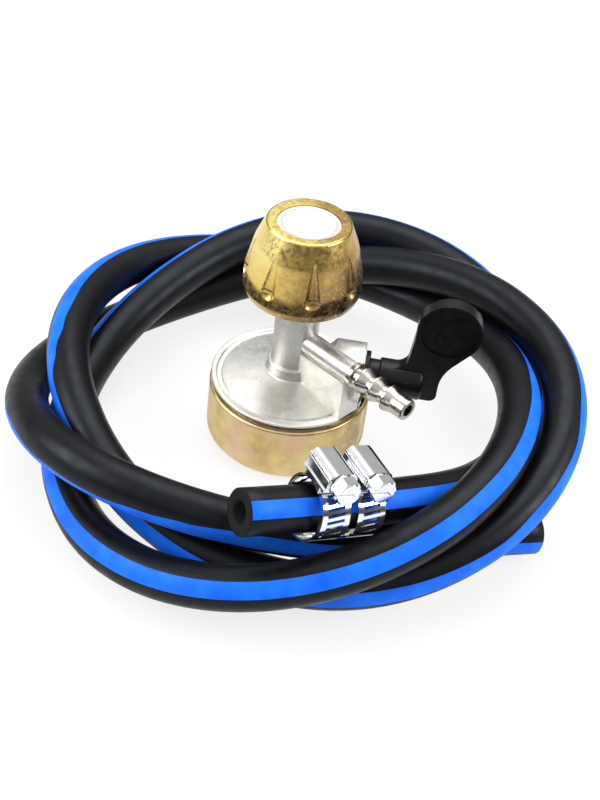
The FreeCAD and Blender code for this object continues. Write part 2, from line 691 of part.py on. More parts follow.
def spindle():
    stem = turned([
        (0, NOSE_BOTTOM),
        (NOSE_RADIUS - NOSE_CHAMFER, NOSE_BOTTOM),
        (NOSE_RADIUS, NOSE_BOTTOM + NOSE_CHAMFER),
        (NOSE_RADIUS, NOSE_TOP),
        (FLANGE_RADIUS, NOSE_TOP, 0.2),
        (FLANGE_RADIUS, FLANGE_TOP, 0.2),
        (SPINDLE_RADIUS, FLANGE_TOP),
        (SPINDLE_RADIUS, NUT_FLOOR),
        (TIP_RADIUS, NUT_FLOOR),
        (TIP_RADIUS, TIP_TOP, 0.3),
        (0, TIP_TOP),
    ])
    pocket_top = NOSE_BOTTOM + SEAL_POCKET_DEPTH
    flat = box((DRIVE_FLAT, -SPINDLE_RADIUS, HUB_BOTTOM), (2 * SPINDLE_RADIUS, SPINDLE_RADIUS, NUT_FLOOR))
    gallery = SPINDLE_RADIUS - GALLERY_DEPTH
    cuts = [
        rod(SEAL_POCKET_RADIUS, V(0, 0, NOSE_BOTTOM - 1), UP, SEAL_POCKET_DEPTH + 1),
        rod(FILTER_RADIUS + SEAT_FIT, V(0, 0, pocket_top - 1), UP, 1 + FILTER_THICKNESS + SEAT_FIT),
        rod(NOSE_BORE, V(0, 0, pocket_top), UP, JET_HEIGHT + CROSS_HOLE - pocket_top),
        rod(CROSS_HOLE, V(-SPINDLE_RADIUS - 1, 0, JET_HEIGHT), V(1, 0, 0), 2 * SPINDLE_RADIUS + 2),
        ring(gallery, SPINDLE_RADIUS + 1, JET_HEIGHT - GALLERY_WIDTH / 2, JET_HEIGHT + GALLERY_WIDTH / 2),
        flat,
    ]
    groove = SPINDLE_RADIUS - SPINDLE_SEAL_DEPTH
    cuts += [seal_groove(groove, SPINDLE_RADIUS, height) for height in SPINDLE_SEALS]
    return stem.cut(cuts)


def spindle_o_rings():
    groove = SPINDLE_RADIUS - SPINDLE_SEAL_DEPTH
    return Part.makeCompound([o_ring(groove, BORE_RADIUS, height) for height in SPINDLE_SEALS])


def nose_seal():
    top = NOSE_BOTTOM + SEAL_POCKET_DEPTH
    return ring(SEAL_HOLE, SEAL_POCKET_RADIUS - SEAT_FIT, NOSE_BOTTOM, top)


def inlet_filter():
    bottom = NOSE_BOTTOM + SEAL_POCKET_DEPTH
    return ring(0, FILTER_RADIUS, bottom, bottom + FILTER_THICKNESS)


def thrust_washer():
    gap = SPIGOT_BOTTOM - FLANGE_TOP
    bottom = FLANGE_TOP + (gap - THRUST_THICKNESS) / 2
    return ring(SPINDLE_RADIUS + LOOSE_FIT, THRUST_RADIUS, bottom, bottom + THRUST_THICKNESS)


def hub_washer():
    top = HUB_WASHER_BOTTOM + HUB_WASHER
    return ring(SPINDLE_RADIUS + LOOSE_FIT, HUB_WASHER_RADIUS, HUB_WASHER_BOTTOM, top)


def handwheel_nut():
    nut = hexagon(NUT_FLATS, NUT_FLOOR + SEAT_FIT, NUT_THICKNESS)
    return nut.cut(rod(TIP_RADIUS + SEAT_FIT, V(0, 0, NUT_FLOOR), UP, 2 * NUT_THICKNESS))


def label_disc():
    return turned([
        (0, LABEL_FLOOR),
        (LABEL_RADIUS, LABEL_FLOOR),
        (LABEL_RADIUS, LABEL_TOP, 0.25),
        (0, LABEL_TOP),
    ])


def flute():
    """One finger hollow: a teardrop that fades out up the wheel's side."""
    low = V(FLUTE_LOW[0], 0, FLUTE_LOW[1])
    high = V(FLUTE_HIGH[0], 0, FLUTE_HIGH[1])
    along = high - low
    cone = Part.makeCone(FLUTE_RADIUS, FLUTE_TIP, along.Length, low, along.normalize())
    return cone.fuse(Part.makeSphere(FLUTE_RADIUS, low))


def handwheel():
    side = WHEEL_TOP - WHEEL_BOTTOM
    body = turned([
        (0, WHEEL_BOTTOM),
        (WHEEL_FOOT_RADIUS, WHEEL_BOTTOM, 0.5),
        (WHEEL_BELLY_RADIUS, WHEEL_BOTTOM + WHEEL_BELLY_LOW * side, WHEEL_ROUNDINGS[0]),
        (WHEEL_BELLY_RADIUS - WHEEL_BELLY_TAPER, WHEEL_BOTTOM + WHEEL_BELLY_HIGH * side, WHEEL_ROUNDINGS[1]),
        (WHEEL_SHOULDER_RADIUS, WHEEL_BOTTOM + WHEEL_SHOULDER_AT * side, WHEEL_ROUNDINGS[2]),
        (WHEEL_CROWN_RADIUS, WHEEL_TOP, 0.9),
        (0, WHEEL_TOP),
    ])
    hollow = turned([
        (HUB_RADIUS, WHEEL_BOTTOM - 1),
        (WHEEL_FOOT_RADIUS - 1.1, WHEEL_BOTTOM - 1),
        (WHEEL_FOOT_RADIUS - 1.1, WHEEL_BOTTOM),
        (WHEEL_INSIDE_RADIUS, WHEEL_BOTTOM + 0.08 * side),
        (WHEEL_INSIDE_RADIUS, WHEEL_BOTTOM + 0.4 * side),
        (WHEEL_CROWN_RADIUS, WHEEL_BOTTOM + 0.62 * side),
        (WHEEL_CROWN_RADIUS - 2.4, WHEEL_CEILING),
        (HUB_RADIUS, WHEEL_CEILING),
    ])
    ribs = []
    for index in range(WHEEL_RIBS):
        rib = box((HUB_RADIUS - 0.5, -WHEEL_RIB / 2, HUB_BOTTOM),
                  (WHEEL_INSIDE_RADIUS, WHEEL_RIB / 2, WHEEL_CEILING))
        rib.rotate(ORIGIN, UP, 360 / WHEEL_RIBS * (index + 0.5))
        ribs.append(rib)
    under_hub = rod(HUB_RADIUS + 1, V(0, 0, WHEEL_BOTTOM - 1), UP, HUB_BOTTOM - WHEEL_BOTTOM + 1)
    room = hollow.cut(ribs).fuse(under_hub)

    fit = SPINDLE_RADIUS + SEAT_FIT
    drive = rod(fit, ORIGIN, UP, WHEEL_TOP)
    drive = drive.cut(box((DRIVE_FLAT + SEAT_FIT, -fit, 0), (2 * fit, fit, WHEEL_TOP)))
    nut_room = rod(NUT_FLATS / math.sqrt(3) + 4 * LOOSE_FIT, V(0, 0, NUT_FLOOR), UP, WHEEL_TOP)
    label_room = rod(LABEL_RADIUS + SEAT_FIT, V(0, 0, LABEL_FLOOR), UP, WHEEL_TOP)
    cuts = [room, drive, nut_room, label_room]
    for index in range(FLUTES):
        hollow_cut = flute()
        hollow_cut.rotate(ORIGIN, UP, FLUTE_START + 360 / FLUTES * index)
        cuts.append(hollow_cut)
    return body.cut(cuts)


# Outlet cock

def stop_pin_rod(radius, depth):
    """The stop pin's bar, drawn on the cock's axis."""
    angle = math.radians(STOP_PIN_ANGLE)
    centre = V(STOP_PIN_CIRCLE * math.cos(angle), STOP_PIN_CIRCLE * math.sin(angle), BOSS_FACE - depth)
    return rod(radius, centre, UP, depth + STOP_PIN_STAND)


def cock_stop_pin():
    return at_cock(stop_pin_rod(STOP_PIN_RADIUS, STOP_PIN_DEPTH))


def cock_plug():
    collar_end = PLUG_COLLAR_AT + PLUG_COLLAR_LENGTH
    plug = turned([
        (0, PLUG_START),
        (PLUG_RADIUS, PLUG_START, 0.3),
        (PLUG_RADIUS, PLUG_COLLAR_AT),
        (PLUG_COLLAR_RADIUS, PLUG_COLLAR_AT),
        (PLUG_COLLAR_RADIUS, collar_end),
        (STEM_RADIUS, collar_end),
        (STEM_RADIUS, STEM_END),
        (0, STEM_END),
    ])
    groove = PLUG_RADIUS - PLUG_SEAL_DEPTH
    flat = box((STEM_FLAT, -STEM_RADIUS, LEVER_START), (2 * STEM_RADIUS, STEM_RADIUS, STEM_END + 1))
    cuts = [seal_groove(groove, PLUG_RADIUS, place) for place in PLUG_SEALS]
    cuts.append(rod(PASSAGE_RADIUS, V(0, -2 * PLUG_RADIUS, PASSAGE_AT), V(0, 1, 0), 4 * PLUG_RADIUS))
    cuts.append(flat)
    cuts.append(lever_pin_rod(LEVER_PIN_RADIUS + 0.01))
    return at_cock(plug.cut(cuts))


def cock_o_rings():
    groove = PLUG_RADIUS - PLUG_SEAL_DEPTH
    return Part.makeCompound([at_cock(o_ring(groove, PLUG_BORE, place)) for place in PLUG_SEALS])


def cock_retaining_ring():
    """An open spring ring in the boss's groove."""
    outer = POCKET_RADIUS + CLIP_GROOVE_DEPTH - SEAT_FIT
    clip = ring(STEM_RADIUS + 4 * LOOSE_FIT, outer, CLIP_AT, CLIP_AT + CLIP_THICKNESS)
    gap = box((0, -STEM_RADIUS / 2, CLIP_AT - 1),
              (2 * POCKET_RADIUS, STEM_RADIUS / 2, CLIP_AT + CLIP_THICKNESS + 1))
    return at_cock(clip.cut(gap))


def lever_pin_rod(radius):
    """The lever's cross pin, up from the underside of its sleeve."""
    start = V(-LEVER_SLEEVE_RADIUS + LOOSE_FIT, 0, LEVER_PIN_AT)
    return rod(radius, start, V(1, 0, 0), LEVER_SLEEVE_RADIUS + STEM_FLAT)


def cock_lever_pin():
    return at_cock(lever_pin_rod(LEVER_PIN_RADIUS))


def lever_blade():
    """Upright blade of the lever: round head, slanting waist and rounded foot."""
    left = LEVER_HEAD_AT - LEVER_HEAD_RADIUS
    right = LEVER_HEAD_AT + LEVER_HEAD_RADIUS
    top = LEVER_HEAD_HEIGHT + LEVER_HEAD_RADIUS
    waist = math.radians(LEVER_WAIST_ANGLE)
    leave = LEVER_HEAD_RADIUS * math.tan(waist / 2)
    below = LEVER_HEAD_HEIGHT - LEVER_HEAD_RADIUS * math.sin(waist)
    beside = LEVER_HEAD_AT + LEVER_HEAD_RADIUS * math.cos(waist)
    slope = (beside - LEVER_WAIST_AT) / math.tan(waist)
    outline = [
        (LEVER_WEB_START, 0),
        (LEVER_WEB_START, LEVER_SLEEVE_RADIUS - 0.5),
        (left - 1.2, LEVER_SLEEVE_RADIUS + 0.5, LEVER_WEB_ROUND),
        (left, LEVER_HEAD_HEIGHT - 4.0),
        (left, top, LEVER_HEAD_RADIUS),
        (right, top, LEVER_HEAD_RADIUS),
        (right, LEVER_HEAD_HEIGHT - leave, LEVER_HEAD_RADIUS),
        (LEVER_WAIST_AT, below - slope, LEVER_WAIST_ROUND),
        (LEVER_FOOT_AT, -LEVER_FOOT_DROP, 2.4),
        (LEVER_SLEEVE_END - 0.6, -LEVER_FOOT_DROP, 1.2),
        (LEVER_SLEEVE_END - 0.6, 0),
    ]
    blade = slab(outline, LEVER_PLATE)
    dishes = []
    for side in (-1, 1):
        centre = V(LEVER_HEAD_AT, side * (LEVER_PLATE / 2 - LEVER_HEAD_DISH), LEVER_HEAD_HEIGHT)
        dishes.append(rod(LEVER_HEAD_RADIUS - LEVER_HEAD_RIM, centre, V(0, side, 0), 1))
    # The drawing's X lies along the cock's Z axis and its Z along the cock's X.
    return framed(blade.cut(dishes), ORIGIN, UP, V(1, 0, 0))


def cock_lever():
    sleeve = turned([
        (0, LEVER_START),
        (LEVER_FLANGE_RADIUS, LEVER_START, 0.2),
        (LEVER_FLANGE_RADIUS, LEVER_FLANGE_END, 0.3),
        (LEVER_NECK_RADIUS, LEVER_FLANGE_END, 0.4),
        (LEVER_NECK_RADIUS, LEVER_NECK_END),
        (LEVER_SLEEVE_RADIUS, LEVER_NECK_END, 0.6),
        (LEVER_SLEEVE_RADIUS, LEVER_SLEEVE_END + 2.0, 1.2),
        (0, LEVER_SLEEVE_END + 2.0),
    ])
    fit = STEM_RADIUS + SEAT_FIT
    socket = rod(fit, V(0, 0, LEVER_START - 1), UP, STEM_END + LOOSE_FIT - LEVER_START + 1)
    socket = socket.cut(box((STEM_FLAT + SEAT_FIT, -fit, 0), (2 * fit, fit, STEM_END + 1)))
    margin = math.degrees(math.asin((STOP_PIN_RADIUS + LOOSE_FIT) / STOP_PIN_CIRCLE))
    slot_half = STOP_PIN_RADIUS + LOOSE_FIT
    depth = STOP_PIN_STAND + LOOSE_FIT - (LEVER_START - BOSS_FACE)
    slot = turned_part(STOP_PIN_CIRCLE - slot_half, STOP_PIN_CIRCLE + slot_half,
                       LEVER_START - 1, LEVER_START + depth, STOP_PIN_ANGLE - margin, COCK_THROW + 2 * margin)
    lever = sleeve.fuse(lever_blade()).cut([socket, slot, lever_pin_rod(LEVER_PIN_RADIUS + 0.01)])
    return at_cock(lever.removeSplitter())


# Tubes and wires along arcs

def biarc(start, start_way, end, end_way):
    """Two tangent arcs from one station to the next, with their radii."""
    span = end - start
    ways = start_way + end_way
    spread = 2 * (1 - start_way.dot(end_way))
    along = span.dot(ways)
    reach = (math.sqrt(along ** 2 + spread * span.dot(span)) - along) / spread
    joint = (start + end + (start_way - end_way) * reach) * 0.5
    arcs = []
    radii = []
    for place, way in ((start, start_way), (end, end_way * -1)):
        chord = joint - place
        side = (chord - way * chord.dot(way)).normalize()
        radius = chord.dot(chord) / (2 * chord.dot(side))
        centre = place + side * radius
        middle = centre + ((place + joint) * 0.5 - centre).normalize() * radius
        arcs.append((place, middle, joint) if place is start else (joint, middle, place))
        radii.append(radius)
    return arcs, radii


def wound_tube(stations, ways, radius, name, lead=0):
    """One unbroken tube through stations, with straight leads at its ends."""
    edges = []
    radii = []
    if lead:
        edges.append(Part.LineSegment(stations[0] - ways[0] * lead, stations[0]).toShape())
    for index in range(len(stations) - 1):
        arcs, bend = biarc(stations[index], ways[index], stations[index + 1], ways[index + 1])
        radii += bend
        for first, middle, last in arcs:
            edges.append(Part.Arc(first, middle, last).toShape())
    if lead:
        edges.append(Part.LineSegment(stations[-1], stations[-1] + ways[-1] * lead).toShape())
    spine = Part.Wire(edges)
    first_way = ways[0]
    start = stations[0] - first_way * lead
    circle = Part.Wire(Part.Circle(start, first_way, radius).toShape())
    tube = spine.makePipeShell([circle], True, False)
    points = spine.discretize(Number=int(spine.Length / (radius * 0.4)))
    gap = self_gap(points, radius)
    expected = math.pi * radius ** 2 * spine.Length
    print("%s: length %.1f, radii %.1f to %.1f, least gap %.2f, volume %.4f of section times length"
          % (name, spine.Length, min(radii), max(radii), gap, tube.Volume / expected))
    return tube


def self_gap(points, radius):
    """The least gap between a tube and its own other turns, measured on points."""
    step = points[0].distanceToPoint(points[1])
    apart = int(8 * radius / step)
    least = 1e9
    for index in range(0, len(points) - apart):
        for other in range(index + apart, len(points)):
            least = min(least, points[index].distanceToPoint(points[other]))
    return least - 2 * radius


def regulator_spring():
    """Coil spring between the cup's floor and the diaphragm."""
    low = CUP_WALL + SPRING_WIRE / 2 + SEAT_FIT
    high = DIAPHRAGM_SEAT + DIAPHRAGM_RISE - SPRING_WIRE / 2 - SEAT_FIT
    climb = (high - low) / SPRING_TURNS
    stations = []
    ways = []
    for quarter in range(int(4 * SPRING_TURNS) + 1):
        angle = math.pi / 2 * quarter
        outward = V(math.cos(angle), math.sin(angle), 0)
        stations.append(outward * SPRING_RADIUS + UP * (low + climb * quarter / 4))
        rise = climb / (2 * math.pi * SPRING_RADIUS)
        ways.append(V(-math.sin(angle), math.cos(angle), rise).normalize())
    return wound_tube(stations, ways, SPRING_WIRE / 2, "regulator_spring")


# Hose

def wave_sum(waves, turns):
    """The sum of some waves and its rate of change, after so many turns."""
    value = 0
    rate = 0
    for size, swings, peak in waves:
        phase = 2 * math.pi * (swings * turns - peak)
        value += size * math.cos(phase)
        rate -= size * 2 * math.pi * swings * math.sin(phase)
    return value, rate


def coil_station(quarter):
    """The hose's centre line and its direction after so many quarter turns."""
    turns = quarter / 4
    reach, reach_rate = wave_sum(REACH_WAVES, turns)
    height, height_rate = wave_sum(HEIGHT_WAVES, turns)
    angle = math.radians(COIL_START_ANGLE) + 2 * math.pi * turns
    outward = V(math.cos(angle), math.sin(angle), 0)
    sideways = V(-math.sin(angle), math.cos(angle), 0)
    centre = V(COIL_CENTRE[0], COIL_CENTRE[1], COIL_HEIGHT)
    place = centre + outward * (COIL_RADIUS + reach) + UP * height
    way = outward * reach_rate + sideways * ((COIL_RADIUS + reach) * 2 * math.pi) + UP * height_rate
    return place, way.normalize()


COIL = [coil_station(quarter) for quarter in range(COIL_QUARTERS + 1)]
END_WAY = COIL[0][1]
END_MOUTH = COIL[0][0] - END_WAY * (HOSE_STRAIGHT + END_RUN)
TAIL_WAY = COIL[-1][1]
TAIL_START = COIL[-1][0] + TAIL_WAY * HOSE_STRAIGHT


def hose_coil():
    stations = [place for place, way in COIL]
    ways = [way for place, way in COIL]
    return wound_tube(stations, ways, HOSE_RADIUS, "hose_coil", HOSE_STRAIGHT)


def hose_end(start, way, length):
    """A straight stretch of hose with its bore open."""
    bore = rod(HOSE_BORE / 2, start - way, way, length + 2)
    return rod(HOSE_RADIUS, start, way, length).cut(bore)


# Hose clamps, drawn about Z with the screw housing on top

CLAMP_SIDE = END_WAY.cross(UP).normalize()
CLAMP_UP = CLAMP_SIDE.cross(END_WAY).normalize()


def at_clamp(shape, place):
    """Put a clamp drawn about Z round the hose, its Y axis upright, its X axis outwards."""
    centre = END_MOUTH + END_WAY * place + CLAMP_UP * BAND_LIFT
    return framed(shape, centre, CLAMP_SIDE, END_WAY * -1)


def clamp_band():
    """Ring of band, its overlapping tail, and the rack slots across it."""
    half = BAND_WIDTH / 2
    band = ring(BAND_RADIUS, BAND_OUTER, -half, half)
    tail_sweep = SCREW_ANGLE + TAIL_BEHIND - TAIL_FRONT
    tail = turned_part(BAND_OUTER - BAND_OVERLAP, TAIL_OUTER, -half, half, TAIL_FRONT, tail_sweep)
    band = band.fuse(tail).removeSplitter()
    slots = []
    for index in range(RACK_SLOTS):
        slot = box((BAND_RADIUS - 1, -RACK_SLOT / 2, -RACK_LENGTH / 2),
                   (TAIL_OUTER + 1, RACK_SLOT / 2, RACK_LENGTH / 2))
        slot.rotate(ORIGIN, V(1, 0, 0), RACK_SLANT)
        slot.rotate(ORIGIN, UP, SCREW_ANGLE + TAIL_BEHIND / 2 - RACK_PITCH * (index + 0.5))
        slots.append(slot)
    return band.cut(slots)


def clamp_housing():
    """Pressed housing over the worm, hooked round the band's edges."""
    half_length = HOUSING_LENGTH / 2
    top = WORM_HEIGHT + WORM_RADIUS + HOUSING_WALL
    side = HOUSING_HALF + HOUSING_LEG
    profile = [
        (-side, HOUSING_FOOT),
        (side, HOUSING_FOOT),
        (side, TAIL_OUTER + 0.6),
        (HOUSING_HALF, TAIL_OUTER + 0.9),
        (HOUSING_HALF, top, HOUSING_CROWN),
        (-HOUSING_HALF, top, HOUSING_CROWN),
        (-HOUSING_HALF, TAIL_OUTER + 0.9),
        (-side, TAIL_OUTER + 0.6),
    ]
    wire = Part.Wire(outline_edges(profile, lambda p: V(-half_length, p.y, p.x)))
    shell = Part.Face(wire).extrude(V(HOUSING_LENGTH, 0, 0))
    inside = BAND_WIDTH / 2 + LOOSE_FIT
    cuts = [
        rod(TAIL_OUTER + SEAT_FIT, V(0, 0, -inside), UP, 2 * inside),
        rod(BAND_RADIUS + BAND_THICKNESS / 2, V(0, 0, -side - 1), UP, 2 * side + 2),
        rod(WORM_RADIUS + RUNNING_FIT, V(-half_length - 1, WORM_HEIGHT, 0), V(1, 0, 0), HOUSING_LENGTH + 2),
    ]
    foot_cut = HOUSING_LENGTH / 2 - 2.0
    for way in (-1, 1):
        low = min(way * foot_cut, way * (half_length + 1))
        high = max(way * foot_cut, way * (half_length + 1))
        cuts.append(box((low, 0, -side - 1), (high, TAIL_OUTER, side + 1)))
    return shell.cut(cuts).removeSplitter()


def clamp_screw():
    """Worm screw across the hose, with a slotted hexagon head."""
    half_length = HOUSING_LENGTH / 2
    corners = [(0, -half_length), (WORM_RADIUS - WORM_GROOVE, -half_length)]
    grooves = int(HOUSING_LENGTH / WORM_PITCH)
    for index in range(grooves):
        start = -half_length + index * WORM_PITCH
        corners += [
            (WORM_RADIUS - WORM_GROOVE, start + 0.25 * WORM_PITCH),
            (WORM_RADIUS, start + 0.45 * WORM_PITCH),
            (WORM_RADIUS, start + 0.7 * WORM_PITCH),
            (WORM_RADIUS - WORM_GROOVE, start + 0.9 * WORM_PITCH),
        ]
    collar = half_length + 2 * LOOSE_FIT
    head = collar + SCREW_COLLAR_LENGTH
    corners += [
        (WORM_RADIUS - WORM_GROOVE, collar),
        (SCREW_COLLAR, collar),
        (SCREW_COLLAR, head, 0.2),
        (0, head),
    ]
    screw = turned(corners).fuse(hexagon(SCREW_FLATS, head - SEAT_FIT, SCREW_HEAD))
    dome = turned([(0, 0), (SCREW_FLATS / 2 + 1, 0), (SCREW_FLATS / 2 + 1, head + SCREW_HEAD - 1.0),
                   (SCREW_FLATS / 2 - 0.2, head + SCREW_HEAD), (0, head + SCREW_HEAD)])
    shaft = rod(WORM_RADIUS, V(0, 0, -half_length), UP, HOUSING_LENGTH)
    screw = screw.common(dome.fuse(shaft))
    slot = box((-SCREW_FLATS, -SCREW_SLOT / 2, head + SCREW_HEAD - SCREW_SLOT_DEPTH),
               (SCREW_FLATS, SCREW_SLOT / 2, head + SCREW_HEAD + 1))
    return framed(screw.cut(slot).removeSplitter(), V(0, WORM_HEIGHT, 0), V(0, 0, -1), V(1, 0, 0))


# Every piece, by name

def make_parts():
    parts["body_casting"] = body_casting()
    parts["bottom_cup"] = bottom_cup()
    parts["nozzle"] = nozzle()
    parts["spring_sleeve"] = spring_sleeve()
    parts["diaphragm"] = diaphragm()
    parts["diaphragm_plate"] = diaphragm_plate()
    parts["regulator_spring"] = regulator_spring()
    parts["inlet_jet"] = inlet_jet()
    parts["valve_lever"] = valve_lever()
    parts["valve_lever_pin"] = valve_lever_pin()
    parts["seat_pad"] = seat_pad()
    parts["spindle"] = spindle()
    parts["spindle_o_rings"] = spindle_o_rings()
    parts["nose_seal"] = nose_seal()
    parts["inlet_filter"] = inlet_filter()
    parts["thrust_washer"] = thrust_washer()
    parts["hub_washer"] = hub_washer()
    parts["handwheel"] = handwheel()
    parts["handwheel_nut"] = handwheel_nut()
    parts["label_disc"] = label_disc()
    parts["cock_plug"] = cock_plug()
    parts["cock_o_rings"] = cock_o_rings()
    parts["cock_retaining_ring"] = cock_retaining_ring()
    parts["cock_stop_pin"] = cock_stop_pin()
    parts["cock_lever"] = cock_lever()
    parts["cock_lever_pin"] = cock_lever_pin()
    parts["hose_coil"] = hose_coil()
    parts["hose_end"] = hose_end(END_MOUTH, END_WAY, END_RUN)
    parts["hose_tail"] = hose_end(TAIL_START, TAIL_WAY, TAIL_RUN)
    for number, place in enumerate(CLAMP_PLACES, 1):
        parts["clamp_band_%d" % number] = at_clamp(clamp_band(), place)
        parts["clamp_housing_%d" % number] = at_clamp(clamp_housing(), place)
        parts["clamp_screw_%d" % number] = at_clamp(clamp_screw(), place)


make_parts()
for name, place in (("end mouth", END_MOUTH), ("tail mouth", TAIL_START + TAIL_WAY * TAIL_RUN)):
    print("%s at %.2f %.2f %.2f" % (name, place.x, place.y, place.z))
print("end way %.5f %.5f %.5f" % tuple(END_WAY), "tail way %.5f %.5f %.5f" % tuple(TAIL_WAY))
print("clamp side %.5f %.5f %.5f" % tuple(CLAMP_SIDE), "clamp up %.5f %.5f %.5f" % tuple(CLAMP_UP))
print("plate travel %.4f" % PLATE_TRAVEL)
os.makedirs("parts", exist_ok=True)
for name, shape in parts.items():
    shape.exportStep("parts/%s.step" % name)
    print("%-20s solids %d valid %s volume %.1f" % (name, len(shape.Solids), shape.isValid(), shape.Volume))
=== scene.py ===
import bpy
import json
import math
from mathutils import Matrix, Vector


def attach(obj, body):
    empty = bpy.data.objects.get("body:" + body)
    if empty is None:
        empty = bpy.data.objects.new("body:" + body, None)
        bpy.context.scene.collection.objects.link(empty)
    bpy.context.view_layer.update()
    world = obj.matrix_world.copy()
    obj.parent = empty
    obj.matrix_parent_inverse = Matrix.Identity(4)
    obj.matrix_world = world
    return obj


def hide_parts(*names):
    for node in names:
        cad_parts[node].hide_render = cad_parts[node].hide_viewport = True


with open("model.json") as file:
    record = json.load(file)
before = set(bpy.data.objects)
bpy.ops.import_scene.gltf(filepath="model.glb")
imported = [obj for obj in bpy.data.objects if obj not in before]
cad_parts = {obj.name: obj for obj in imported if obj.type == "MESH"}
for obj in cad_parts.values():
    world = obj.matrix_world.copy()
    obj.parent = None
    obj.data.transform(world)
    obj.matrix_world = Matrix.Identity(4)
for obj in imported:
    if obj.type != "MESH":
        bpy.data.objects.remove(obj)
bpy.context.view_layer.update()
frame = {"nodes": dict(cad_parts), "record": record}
nodes = frame["nodes"]

MM = 0.001
UP = Vector((0, 0, 1))

# Camera, fitted to the photograph: the picture's right and away directions
# lie turned by this much in the part's frame
VIEW_TURN = math.radians(40.3)
PITCH = math.radians(39.6)
ROLL = math.radians(7.4)
LENS = 64.85
DISTANCE = 0.470
TARGET_RIGHT = 4.0 * MM
TARGET_AWAY = -2.2 * MM
TARGET_HEIGHT = 15.0 * MM

SENSOR_WIDTH = 36
CLIP_START = 0.01

RIGHT = Vector((math.cos(VIEW_TURN), math.sin(VIEW_TURN), 0))
AWAY = Vector((-math.sin(VIEW_TURN), math.cos(VIEW_TURN), 0))

# Floor, sky and lamps; a lamp's place is right, away and up from the origin in metres
FLOOR_HALF = 3.0
FLOOR_TONE = 0.86
FLOOR_GLOW = 0.8
SKY_DARK_BELOW = 0.05
SKY_BRIGHT_ABOVE = 0.75
SKY_DARK = 0.08
SKY_BRIGHT = 0.95
LAMP_AIM = Vector((0, 0, 0.02))
LAMPS = (
    ("lamp_top", (0.05, 0.25, 0.75), 0.60, 4.0),
    ("lamp_left", (-0.60, -0.15, 0.40), 0.45, 4.0),
    ("lamp_right", (0.55, -0.10, 0.35), 0.30, 2.5),
)

# Hose, with the same route as the source's coil. Each wave is its size in
# millimetres, its swings in a turn, and where in a swing it peaks
HOSE_RADIUS = 6.75 * MM
BORE_RADIUS = 3.25 * MM
HOSE_STRAIGHT = 13.5 * MM
END_RUN = 42.5 * MM
TAIL_RUN = 32.5 * MM
COIL_CENTRE = Vector((6.5, 1.5, 22.7)) * MM
COIL_START_ANGLE = -19.7
COIL_QUARTERS = 12
COIL_RADIUS = 75.9
REACH_WAVES = (
    (12.8, 1.739, 0.608), (-5.3, 1.879, 0.812), (1.8, 2.916, 0.154),
    (-3.3, 0.948, 0.221), (-1.2, 2.763, 0.87), (-1.2, 1.229, 0.527),
)
HEIGHT_WAVES = (
    (11.0, 1.693, 0.794), (7.1, 0.982, 0.199), (2.7, 2.518, 0.007),
    (2.7, 2.735, 0.756), (1.5, 2.012, 0.397),
)
POINTS_PER_QUARTER = 6
RUN_POINTS = (0.2, 0.6, 1.0)
LINE_STEPS = 8
STRIPE_FACES = 6
RUBBER_FACES = 34
MOUTH_EDGE = 0.35 * MM
MOUTH_DEPTH = 30 * MM

# Stripe along the hose: its width, and where it lies round the hose after so
# many turns (0 is out from the coil's centre, 90 is on top)
STRIPE_WIDTH = 5.2 * MM
STRIPE_PLACES = (
    (-0.12, 45), (0.01, 47), (0.25, 50), (0.50, 48), (0.61, 45), (0.78, 33), (0.84, 37), (0.90, 38), (0.97, 39),
    (1.04, 47), (1.10, 48), (1.14, 45), (1.20, 34), (1.40, 50), (1.64, 66), (1.67, 54), (1.69, 33), (1.71, 8),
    (1.76, 12), (1.95, 9), (2.04, 4), (2.07, 17), (2.11, 19), (2.14, 34), (2.35, 20), (2.60, 0), (2.73, -12),
    (2.76, -29), (2.80, -35), (2.83, -21), (2.85, -12), (2.88, 0), (2.91, 5), (3.00, 0), (3.10, -6),
)


# Camera, floor and light

def make_camera():
    forward = AWAY * math.cos(PITCH) - UP * math.sin(PITCH)
    over = RIGHT.cross(forward)
    across = RIGHT * math.cos(ROLL) + over * math.sin(ROLL)
    upright = over * math.cos(ROLL) - RIGHT * math.sin(ROLL)
    target = RIGHT * TARGET_RIGHT + AWAY * TARGET_AWAY + UP * TARGET_HEIGHT
    data = bpy.data.cameras.new("camera")
    data.lens = LENS
    data.sensor_width = SENSOR_WIDTH
    data.sensor_fit = "AUTO"
    data.clip_start = CLIP_START
    camera = bpy.data.objects.new("camera", data)
    turn = Matrix((across, upright, -forward)).transposed().to_4x4()
    camera.matrix_world = Matrix.Translation(target - forward * DISTANCE) @ turn
    bpy.context.scene.collection.objects.link(camera)
    bpy.context.scene.camera = camera


def make_lamp(name, place, size, power):
    """A soft square lamp that looks at the middle of the object."""
    data = bpy.data.lights.new(name, "AREA")
    data.size = size
    data.energy = power
    lamp = bpy.data.objects.new(name, data)
    where = RIGHT * place[0] + AWAY * place[1] + UP * place[2]
    aim = (LAMP_AIM - where).normalized()
    lamp.matrix_world = Matrix.Translation(where) @ aim.to_track_quat("-Z", "Y").to_matrix().to_4x4()
    bpy.context.scene.collection.objects.link(lamp)


